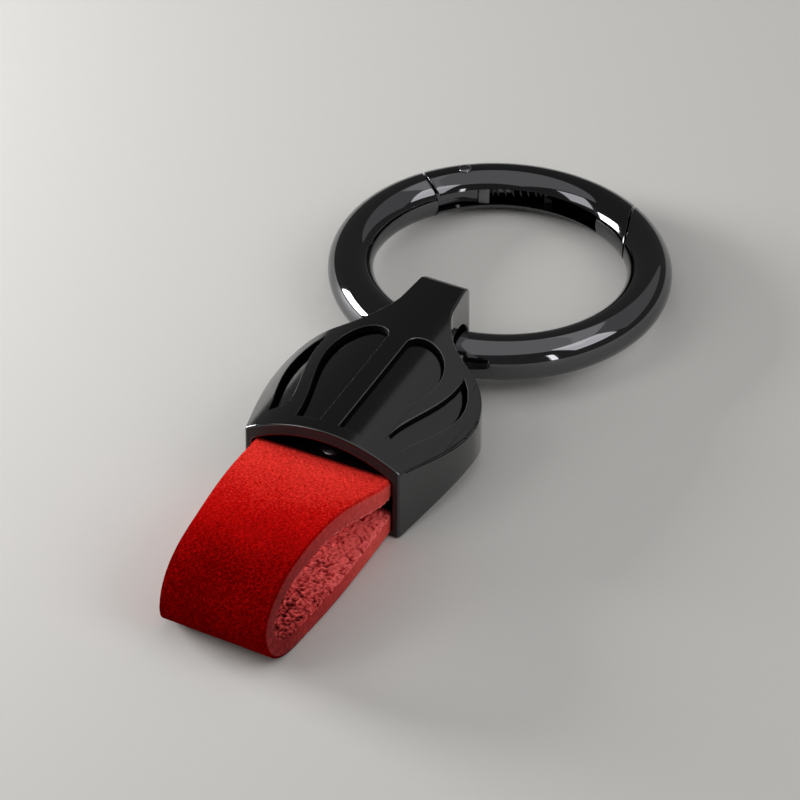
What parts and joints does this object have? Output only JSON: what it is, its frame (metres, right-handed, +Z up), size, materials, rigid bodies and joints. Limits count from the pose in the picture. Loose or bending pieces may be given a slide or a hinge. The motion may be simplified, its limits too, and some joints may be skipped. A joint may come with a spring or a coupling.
{
  "type": "carabiner keyring",
  "caption": "Keyring with a folded leather strap loop clamped in a crowned black cast fitting, and a round spring-gate ring that swings in the eye of the fitting.",
  "frame": {"origin": "on the flat underside of the end fitting, below its widest point", "axes": "+X across the fitting, +Y from the strap loop towards the ring, +Z up from the surface that the keyring lies on"},
  "size_m": [0.034, 0.0798, 0.0103],
  "materials": {
    "casting": "gloss black electroplate on a zinc casting",
    "leather": "red grained leather with burnished edges and a rough flesh side",
    "bright_steel": "bright turned steel",
    "screw_steel": "black zinc plated steel",
    "ring_chrome": "mirror black chrome",
    "gate_chrome": "mirror black chrome",
    "pin_steel": "polished black chrome",
    "plunger_steel": "dark turned steel",
    "spring_steel": "drawn spring wire"
  },
  "bodies": {
    "holder": {"fitting_body": "casting", "leather_strap": "leather", "clamp_post": "bright_steel", "clamp_screw": "screw_steel"},
    "ring": {"ring_body": "ring_chrome", "gate_pin": "pin_steel"},
    "gate": {"gate": "gate_chrome", "gate_spring": "spring_steel"},
    "plunger": {"gate_plunger": "plunger_steel"}
  },
  "joints": [
    {"name": "ring_swing", "type": "hinge", "parent": "holder", "child": "ring", "pos_m": [0, 0.0128, 0.0038], "axis": [1, 0, 0], "range_deg": [-150, 150]},
    {"name": "gate_open", "type": "hinge", "parent": "ring", "child": "gate", "pos_m": [-0.00948, 0.03881, 0.00243], "axis": [0, -0.0525, -0.9986], "range_deg": [0, 32], "stiffness_Nm_per_rad": 0.03, "springref_deg": -28.65},
    {"name": "plunger_slide", "type": "slide", "parent": "gate", "child": "plunger", "axis": [0.9117, 0.4104, -0.0216], "range_m": [0, 0.00055], "deforming": ["gate_spring"]}
  ],
  "couplings": [
    {"joint": "plunger_slide", "follows": "gate_open", "m_per_rad": 0.00095}
  ]
}
